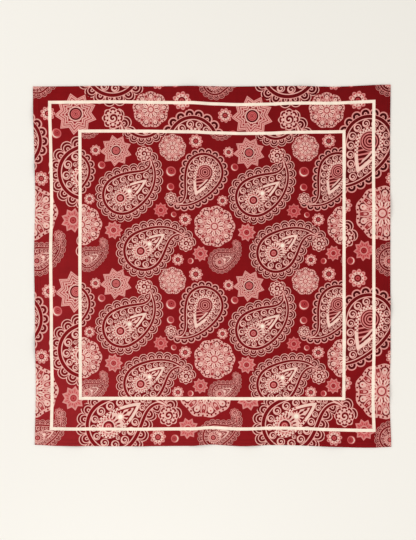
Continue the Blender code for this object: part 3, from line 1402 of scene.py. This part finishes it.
@dataclass(frozen=True)
class Cotton:
    """A plain-woven cotton: colour varied by its threads, a fine weave and slubs."""

    name: str
    roughness: float = 0.7
    sheen: float = 0.03
    sheen_roughness: float = 0.5
    specular: float = 0.06
    thread: float = 0.42  # width of a thread in millimetres
    relief: float = 0.25
    depth: float = 0.1  # of the relief, in millimetres
    mottle: float = 0.17
    cloud: float = 70.0  # how often the colour varies in a metre
    slubs: tuple[float, float] = (900.0, 28.0)  # the same across a thread and along it
    slub_height: float = 1.5  # as a share of the weave's

    def start(self) -> tuple[bpy.types.Material, bpy.types.NodeTree, bpy.types.Node]:
        """Makes the material, with its constant values set.

        Returns:
            The material, its node tree and its shader.
        """
        material = bpy.data.materials.new(self.name)
        material.use_nodes = True
        tree = material.node_tree
        shader = tree.nodes["Principled BSDF"]
        constants = {
            "Roughness": self.roughness,
            "Metallic": 0.0,
            "Sheen Weight": self.sheen,
            "Sheen Roughness": self.sheen_roughness,
            "Specular IOR Level": self.specular,
        }
        for name, value in constants.items():
            shader.inputs[name].default_value = value
        return material, tree, shader

    def noise(self, tree: bpy.types.NodeTree, stretch: Sequence[float], detail: float) -> Field:
        """Noise on the object's own coordinates.

        Args:
            tree: The node tree.
            stretch: Its frequency along each axis, per metre.
            detail: Its octaves.

        Returns:
            The noise, from 0 to 1.
        """
        place = add_node(tree, "TexCoord", {}).outputs["Object"]
        moved = add_node(tree, "Mapping", {"Vector": place, "Scale": stretch}).outputs[0]
        node = add_node(tree, "TexNoise", {"Vector": moved, "Scale": 1.0, "Detail": detail})
        return Field(tree, node.outputs["Fac"])

    def woven(
        self, tree: bpy.types.NodeTree, shader: bpy.types.Node, colour: bpy.types.NodeSocket
    ) -> None:
        """Finishes the material: threads vary the colour, and the weave stands up.

        Args:
            tree: The node tree.
            shader: Its shader.
            colour: The colour before the threads vary it.
        """
        fine, long = self.slubs
        cloud = self.noise(tree, (self.cloud, self.cloud, self.cloud), 4.0)
        warp = self.noise(tree, (fine, long, long), 2.0)
        weft = self.noise(tree, (long, fine, long), 2.0)
        vary = cloud + (warp + weft) * 0.5
        light = vary.scaled(self.mottle * 2, 1 - self.mottle * 2)
        inputs = {0: 1.0, 6: colour, 7: light}
        mix = add_node(tree, "Mix", inputs, data_type="RGBA", blend_type="MULTIPLY")
        tree.links.new(mix.outputs[2], shader.inputs["Base Color"])
        place = add_node(tree, "TexCoord", {}).outputs["Object"]
        turns = math.pi / (self.thread * MM)
        across, up = ((part * turns).math("SINE") for part in split(tree, place)[:2])
        height = across * up + (warp + weft) * self.slub_height
        inputs = {"Strength": self.relief, "Distance": self.depth * MM, "Height": height}
        tree.links.new(add_node(tree, "Bump", inputs).outputs[0], shader.inputs["Normal"])

    def plain(self, colour: Colour) -> bpy.types.Material:
        """Makes a plain dyed cotton.

        Args:
            colour: Its linear colour.

        Returns:
            The material.
        """
        material, tree, shader = self.start()
        dye = tree.nodes.new("ShaderNodeRGB")
        dye.outputs[0].default_value = colour
        self.woven(tree, shader, dye.outputs[0])
        return material


REVERSE_INKS = (
    (0.0, (140, 44, 46)),
    (0.30, (166, 66, 66)),
    (0.62, (198, 124, 118)),
    (1.0, (234, 212, 198)),
)


@dataclass(frozen=True)
class PrintedCotton(Cotton):
    """Cotton printed with the paisley pattern and its frame lines, and with light and shade painted
    over its red.
    """

    line: float = 4.9  # width of the frame lines
    painted_light: tuple[float, float, float] = (-0.00028, -0.00022, -0.012)  # painted light and shade on the red, lighter to the left and the bottom and darker to the top right: its slope across, its slope up, and a shift all over
    inks: Inks = (
        (0.0, (58, 0, 0)),
        (0.30, (128, 11, 16)),
        (0.46, (162, 42, 46)),
        (0.62, (200, 93, 93)),
        (0.80, (214, 149, 141)),
        (0.92, (236, 196, 182)),
        (1.0, (247, 231, 212)),
    )

    def attribute(self, tree: bpy.types.NodeTree, mark: Mark) -> list[Field]:
        """The three numbers of one of the print's attributes."""
        node = add_node(tree, "Attribute", {}, attribute_name=mark.value)
        return split(tree, node.outputs["Vector"])

    def frame(self, x: Field, y: Field, box: Box) -> Field:
        """Distance outside a rectangle with square corners.

        Args:
            x: Place across the cloth.
            y: Place up the cloth.
            box: The rectangle's left, bottom, right and top.

        Returns:
            The distance, negative inside.
        """
        left, bottom, right, top = box
        beside = abs(x - (left + right) / 2) - (right - left) / 2
        above = abs(y - (bottom + top) / 2) - (top - bottom) / 2
        return beside.math("MAXIMUM", above)

    def make(self, layout: Print) -> bpy.types.Material:
        """Makes the printed material.

        Args:
            layout: The print, for its frame lines.

        Returns:
            The material.
        """
        material, tree, shader = self.start()
        place_x, place_y, kind = self.attribute(tree, Mark.PLACE)
        x, y, pale = self.attribute(tree, Mark.MOTIF)
        flank, heart = self.attribute(tree, Mark.FLANK), self.attribute(tree, Mark.HEART)
        spot = Spot(x, y, Polar(x, y), *flank, *heart)
        drawn = {motif: drawing.draw(spot) for motif, drawing in DRAWINGS.items()}
        tone = kind * 0.0 + Tone.GROUND
        for motif, drawing in drawn.items():
            tone = tone.over(kind.math("COMPARE", float(motif), 0.5), drawing)
        covered = kind.fraction().math("COMPARE", layout.covered, 0.1)
        rosette = DRAWINGS[Motif.CURL].edge(spot.polar).inside()
        tone = tone.over(covered * rosette, drawn[Motif.CURL])
        tone = (tone - Tone.GROUND).scaled(pale.scaled(-1.0, 1.0), Tone.GROUND)
        for box in (layout.inner_frame, layout.outer_frame):
            tone = tone.over(self.frame(place_x, place_y, box).stroke(0.0, self.line), Tone.CREAM)
        # Painted light and shade: the red and the pinks are lightened towards the left and the
        # bottom and darkened towards the top right, as the light falls; the cream stays as it is.
        across, up, whole = self.painted_light
        painted_light = place_x * across + place_y * up + whole
        tone = tone + painted_light * tone.scaled(-1.0, 1.0)
        inks = [(depth, linear(*colour)) for depth, colour in self.inks]
        self.woven(tree, shader, tone.ramp(inks))
        return material


# ---- Pieces


@dataclass(frozen=True)
class Rim:
    """Section of the cloth from where it comes off a hem out to its turned edge: up over
    the hem in an eased step, across it, and round and under in a half oval. Sizes are in
    millimetres."""

    border: float = 10.5
    step_end: float = 7.9
    ground: float = 0.98  # top of the cloth on the surface
    crest: float = 2.26  # top of the cloth over the hem
    dimple: float = 0.14  # where the stitches pull the cloth down
    seam: float = 4.6
    shoulder: float = 2.6  # inset where the cloth starts to turn
    turn: float = 1.15  # depth of the turned edge's oval
    sweep: tuple[float, float] = (90.0, -62.0)  # degrees that it goes through
    tuck: float = 0.99  # its half height, as a share of half the crest's
    steps: int = 6

    def rows(self) -> np.ndarray:
        """Works the section out: the step rises by the eased share of its width, and the
        turned edge is a half oval.

        Returns:
            Inset and height of each row, from the border outwards.
        """
        step = np.linspace(0, 1, self.steps)[1:]
        inset = self.border + (self.step_end - self.border) * step
        over = np.column_stack((inset, self.ground + (self.crest - self.ground) * smooth(step)))
        flat = np.array(((self.seam, self.crest - self.dimple), (self.shoulder, self.crest)))
        angle = np.radians(np.linspace(*self.sweep, self.steps))
        height = self.crest / 2 + self.crest / 2 * self.tuck * np.sin(angle)
        under = np.column_stack((self.turn * (1 - np.cos(angle)), height))
        return np.vstack(((self.border, self.ground), over, flat, under))

    def inner_rows(self, thickness: float) -> np.ndarray:
        """Moves the rows inwards, square to the section.

        Args:
            thickness: How far, in millimetres.

        Returns:
            Inset and height of each row.
        """
        rows = self.rows()
        along = np.gradient(rows, axis=0)
        along /= np.hypot(*along.T)[:, None]
        inward = np.column_stack((-along[:, 1], along[:, 0]))
        return rows + thickness * inward


@dataclass
class Ply:
    """One side of the cloth, as a thin closed shell that is finely gridded where it
    shows. Sizes are in millimetres."""

    name: str
    lie: Lie
    layout: Print
    shown: np.ndarray  # inset and height of each row, from the field outwards
    hidden: np.ndarray  # the same on the side that doesn't show
    cells: tuple[int, int]  # across and up, within the first row
    upward: bool = True
    coarse: int = 3  # cells of the shown side to one of the hidden side
    map_span: float = 566.0  # length of cloth across the map
    map_share: float = 0.95  # of the map's width that the shown side takes
    hidden_strip: tuple[float, float] = (0.965, 0.995)  # where the hidden side lies on it

    def stations(self, axis: int, rows: np.ndarray) -> np.ndarray:
        """Stations of the grid along one axis.

        Args:
            axis: 0 for across, 1 for up.
            rows: The rows of inset and height.

        Returns:
            Rows of place, place along the cloth itself, and the row's number.
        """
        half = self.lie.half[axis]
        gone = np.append(0, np.cumsum(np.hypot(*np.diff(self.shown, axis=0).T)))
        end = half - rows[0, 0]
        inner = np.linspace(-end, end, self.cells[axis] + 1)
        middle = np.column_stack((inner, inner, np.zeros(len(inner))))
        number = np.arange(1, len(rows))
        out = np.column_stack((half - rows[1:, 0], end + gone[1:], number))
        return np.vstack(((out * (-1, -1, 1))[::-1], middle, out))

    def grid(self, rows: np.ndarray, every: int) -> tuple[np.ndarray, np.ndarray, tuple[int, int]]:
        """One side of the shell: each station across meets each station up, at the
        height of the outer one's row.

        Args:
            rows: The rows of inset and height for that side.
            every: How many stations it steps over.

        Returns:
            The laid points, their places along the cloth, and the grid's size.
        """
        across, up = (self.stations(axis, rows)[::every] for axis in (0, 1))
        pairs = [np.meshgrid(across[:, k], up[:, k], indexing="ij") for k in range(3)]
        flat, cut, row = (np.column_stack([side.ravel() for side in pair]) for pair in pairs)
        height = rows[row.max(axis=1).astype(int), 1]
        return self.lie.lay(flat, height), cut, (len(across), len(up))

    def build(self, finish: "PrintedCotton", slot: Slot) -> bpy.types.Object:
        """Makes the shell: a fine grid, a coarse one, and a strip of faces round them.

        Args:
            finish: Its finish.
            slot: Not used.

        Returns:
            The object.
        """
        fine, fine_cut, fine_size = self.grid(self.shown, 1)
        rough, rough_cut, rough_size = self.grid(self.hidden, self.coarse)
        inner = boundary(*rough_size) + len(fine)
        outer = boundary(*fine_size)
        steps = [np.roll(outer, -k)[:: self.coarse] for k in range(self.coarse, -1, -1)]
        turn = 1 if self.upward else -1
        faces = [
            grid_faces(*rough_size)[:, ::-turn] + len(fine),
            np.column_stack((inner, np.roll(inner, -1), *steps))[:, ::turn],
            grid_faces(*fine_size)[:, ::turn],
        ]
        material = finish.make(self.layout)
        piece = new_object(self.name, np.vstack((fine, rough)), faces, material)
        self.mark(piece.data, np.vstack((fine_cut, rough_cut)), faces)
        return piece

    def mark(self, mesh: bpy.types.Mesh, cut: np.ndarray, faces: list[np.ndarray]) -> None:
        """Gives the mesh its map and the print's attributes. The hidden side has plain
        ground, and a narrow strip of the map.

        Args:
            mesh: The mesh.
            cut: Its points' places along the cloth.
            faces: Its faces, the hidden side's first.
        """
        loops, sizes = corners_of(faces)
        hidden = faces[0].size
        for mark, numbers in self.layout.marks(self.layout.printed(cut[loops]), sizes).items():
            numbers[:hidden] = 0
            layer = mesh.attributes.new(mark.value, "FLOAT_VECTOR", "CORNER")
            layer.data.foreach_set("vector", numbers.astype(np.float32).ravel())
        place = cut[loops] / self.map_span + 0.5
        place[:, 0] *= self.map_share
        low, high = self.hidden_strip
        place[:hidden, 0] = low + (high - low) * place[:hidden, 0]
        layer = mesh.uv_layers.new(name=BAKE_MAP)
        layer.data.foreach_set("uv", place.astype(np.float32).ravel())


@dataclass
class Hem:
    """The turned-under strip along one side: two plies pressed flat, folded along the
    inner side, with the seam's groove beneath, and mitred ends. Millimetres."""

    lie: Lie
    side: str
    axis: int  # the side stands across this axis
    sign: int  # on its low or its high end
    outer: float = 1.65  # inset of its outer side
    inner: float = 7.62
    height: float = 0.94
    stand: float = 0.02  # clear of the surface
    crown: Rows = ((6.0, 0.02), (3.2, 0.02))  # inset, and rise over the height
    under: Rows = (  # inset, and depth of the groove under the seam
        (3.6, 0.0), (4.25, 0.0), (4.4, 0.22), (4.8, 0.22), (4.95, 0.0), (6.0, 0.0),
    )
    mitre: float = 0.25  # taken off each end
    stations: int = 150
    corners: int = 5  # points round each fold

    def section(self) -> np.ndarray:
        """Works the strip's section out. Both ends are half rounds, the top is faintly
        crowned, and the groove lies under the seam.

        Returns:
            Inset and height of its points, anticlockwise.
        """
        radius = self.height / 2
        turn = np.radians(np.linspace(-90, 90, self.corners))
        half_round = np.column_stack((np.cos(turn), np.sin(turn))) * radius
        fold = (self.inner - radius, self.stand + radius) + half_round
        raw = (self.outer + radius, self.stand + radius) - half_round
        top = np.array(self.crown) + (0, self.stand + self.height)
        return np.vstack((fold, top, raw, np.array(self.under) + (0, self.stand)))

    def build(self, material: bpy.types.Material) -> bpy.types.Object:
        """Makes the strip: its section carried along the side.

        Args:
            material: Its material.

        Returns:
            The object.
        """
        section = self.section()
        inset, rise = (np.tile(column, self.stations) for column in section.T)
        share = np.repeat(np.linspace(-1, 1, self.stations), len(section))
        other = 1 - self.axis
        flat = np.empty((len(inset), 2))
        flat[:, self.axis] = self.sign * (self.lie.half[self.axis] - inset)
        flat[:, other] = share * (self.lie.half[other] - inset - self.mitre)
        number = np.arange(len(flat)).reshape(self.stations, len(section))
        after = np.roll(number, -1, axis=1)
        sides = np.stack((number[:-1], after[:-1], after[1:], number[1:]), axis=-1).reshape(-1, 4)
        caps = np.stack((number[0, ::-1], number[-1]))
        turn = self.sign if self.axis == 0 else -self.sign
        faces = [rows[:, ::turn] for rows in (sides, caps)]
        points = self.lie.lay(flat, rise)
        piece = new_object(f"{self.side}_fold", points, faces, material)
        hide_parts(self.side)
        return piece


@dataclass
class Stitching:
    """The lines of stitches that hold the hems, seen on both sides of the cloth: each
    stitch is a short thread that rises out of the cloth and dips back. Millimetres."""

    lie: Lie
    inset: float = 4.6
    pitch: float = 3.0
    length: float = 2.5
    width: float = 0.42
    thickness: float = 0.2
    rings: Rows = ((-0.36, 0.8), (0.0, 1.0), (0.36, 0.8))  # place along it, size, as shares
    levels: Rows = ((2.15, 0.16), (0.23, -0.1))  # base and arch

    def thread(self) -> tuple[np.ndarray, list[np.ndarray]]:
        """Works one stitch out: four points round each of three rings, and two ends.

        Returns:
            Points along, across and up, and the faces of its sides and of its ends.
        """
        place, swell = np.array(self.rings).T[:, :, None]
        across = self.width / 2 * np.array((1, 0, -1, 0))
        up = self.thickness / 2 * np.array((0, 1, 0, -1))
        along = np.repeat(self.length * place, 4, axis=1)
        rings = np.stack((along, swell * across, swell * up), axis=-1)
        ends = self.length / 2 * np.array(((-1, 0, 0), (1, 0, 0)))
        corner = np.arange(4)
        after = (corner + 1) % 4
        sides = [
            np.column_stack((k + corner, k + after, k + 4 + after, k + 4 + corner)) for k in (0, 4)
        ]
        near = np.column_stack((np.full(4, 12), after, corner))
        far = np.column_stack((np.full(4, 13), 8 + corner, 8 + after))
        points = np.vstack((rings.reshape(-1, 3), ends))
        return points, [np.vstack(sides), np.vstack((near, far))]

    def build(self, material: bpy.types.Material) -> bpy.types.Object:
        """Makes all the stitches as one mesh.

        Args:
            material: The thread's material.

        Returns:
            The object.
        """
        points, parts = self.thread()
        flats, rises = [], []
        for axis, sign, (base, arch) in product((0, 1), (-1, 1), self.levels):
            reach = self.lie.half[1 - axis] - self.inset - self.pitch / 2
            count = int(2 * reach / self.pitch)
            along = np.linspace(-reach, reach, count)[:, None] + points[:, 0]
            flat = np.empty((*along.shape, 2))
            flat[..., 1 - axis] = along
            flat[..., axis] = sign * (self.lie.half[axis] - self.inset) + points[:, 1]
            bow = arch * (1 - (2 * points[:, 0] / self.length) ** 2)
            flats.append(flat.reshape(-1, 2))
            rises.append(np.tile(base + bow + points[:, 2], count))
        flat = np.vstack(flats)
        starts = np.arange(0, len(flat), len(points))[:, None, None]
        faces = [(starts + part).reshape(-1, part.shape[1]) for part in parts]
        laid = self.lie.lay(flat, np.concatenate(rises))
        piece = new_object("hem_stitches", laid, faces, material)
        recalculate(piece.data)
        return piece


@dataclass
class Bandana:
    """The whole bandana: the printed ply, its reverse, four hems and their stitches."""

    lie: Lie = Lie()
    layout: Print = Print()
    rim: Rim = Rim()
    thickness: float = 0.45  # of the printed ply
    hem_red: tuple[int, int, int] = (134, 22, 26)
    thread_red: tuple[int, int, int] = (112, 14, 22)
    face_cells: tuple[int, int] = (271, 274)
    reverse_cells: tuple[int, int] = (207, 210)
    reverse_inset: float = 7.95
    reverse_heights: tuple[float, float] = (0.02, 0.48)
    hems: tuple[tuple[str, int, int], ...] = (
        # node, axis that it stands across, end of that axis
        ("hem_top", 1, 1),
        ("hem_right", 0, 1),
        ("hem_bottom", 1, -1),
        ("hem_left", 0, -1),
    )

    def build(self) -> None:
        face = Ply(
            "cloth",
            self.lie,
            self.layout,
            self.rim.rows(),
            self.rim.inner_rows(self.thickness),
            self.face_cells,
        ).build(PrintedCotton("printed_cotton"), Slot.PRINTED)
        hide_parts("panel")
        low, high = self.reverse_heights
        reverse = Ply(
            "cloth_reverse",
            self.lie,
            self.layout,
            np.array(((self.reverse_inset, low),)),
            np.array(((self.reverse_inset, high),)),
            self.reverse_cells,
            upward=False,
        ).build(PrintedCotton("reverse_cotton", inks=REVERSE_INKS), Slot.HEM)
        red = Cotton("hem_cotton").plain(linear(*self.hem_red))
        folds = [Hem(self.lie, *row).build(red) for row in self.hems]
        thread = Cotton("sewing_thread", thread=0.2, relief=0.4).plain(linear(*self.thread_red))
        stitches = Stitching(self.lie).build(thread)
        self.lie.width * MM


# ---- The studio


@dataclass(frozen=True)
class Studio:
    """A pale floor, soft lights and a camera straight above the cloth. Sizes are in
    metres."""

    lens: float = 85.0
    sensor: float = 36.0
    view_length: float = 0.8352
    aim: tuple[float, float] = (-0.00626, -0.00595)
    floor_half: float = 3.0
    floor_colour: tuple[int, int, int] = (240, 237, 230)
    floor_roughness: float = 0.9
    room_colour: Colour = (1.0, 0.985, 0.96, 1.0)
    room_strength: float = 0.6
    lights: tuple[tuple[str, float, tuple[float, float, float], float], ...] = (
        # name, watts, place, side
        ("window", 13.1, (-1.1, 0.5, 1.5), 1.4),
        ("fill", 12.0, (1.2, -0.7, 1.6), 1.6),
        ("low", 0.8, (-0.2, -0.85, 0.4), 0.4),
    )

    def floor(self) -> None:
        """Lays the floor."""
        corners = ((-1, -1, 0), (1, -1, 0), (1, 1, 0), (-1, 1, 0))
        mesh = bpy.data.meshes.new("floor")
        mesh.from_pydata((np.array(corners) * self.floor_half).tolist(), [], [(0, 1, 2, 3)])
        material = bpy.data.materials.new("pale_floor")
        material.use_nodes = True
        shader = material.node_tree.nodes["Principled BSDF"]
        shader.inputs["Base Color"].default_value = linear(*self.floor_colour)
        shader.inputs["Roughness"].default_value = self.floor_roughness
        mesh.materials.append(material)
        floor = bpy.data.objects.new("floor", mesh)
        bpy.context.scene.collection.objects.link(floor)

    def light(self) -> None:
        """Hangs the lights, each turned to the cloth's middle, in a pale room."""
        for name, watts, place, side in self.lights:
            lamp = bpy.data.lights.new(name, "AREA")
            lamp.energy = watts
            lamp.size = side
            holder = bpy.data.objects.new(name, lamp)
            holder.location = place
            x, y, z = place
            holder.rotation_euler = (math.atan2(math.hypot(x, y), z), 0, math.atan2(x, -y))
            bpy.context.scene.collection.objects.link(holder)
        world = bpy.data.worlds.new("room")
        world.use_nodes = True
        background = world.node_tree.nodes["Background"]
        background.inputs["Color"].default_value = self.room_colour
        background.inputs["Strength"].default_value = self.room_strength
        bpy.context.scene.world = world

    def camera(self) -> None:
        """Sets the camera straight above the view's middle. The sensor's width lies
        along the view's length."""
        lens = bpy.data.cameras.new("camera")
        lens.lens = self.lens
        lens.sensor_width = self.sensor
        camera = bpy.data.objects.new("camera", lens)
        camera.location = (*self.aim, self.view_length * self.lens / self.sensor)
        bpy.context.scene.collection.objects.link(camera)
        bpy.context.scene.camera = camera
        bpy.context.scene.view_settings.view_transform = "Standard"

    def build(self) -> None:
        """Sets the whole studio up."""
        self.floor()
        self.light()
        self.camera()


def main() -> None:
    """Builds the studio and the bandana's pieces in order."""
    logging.basicConfig(level=logging.INFO, format="%(name)s: %(message)s")
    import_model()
    Studio().build()
    Bandana().build()


if __name__ == "__main__":
    main()
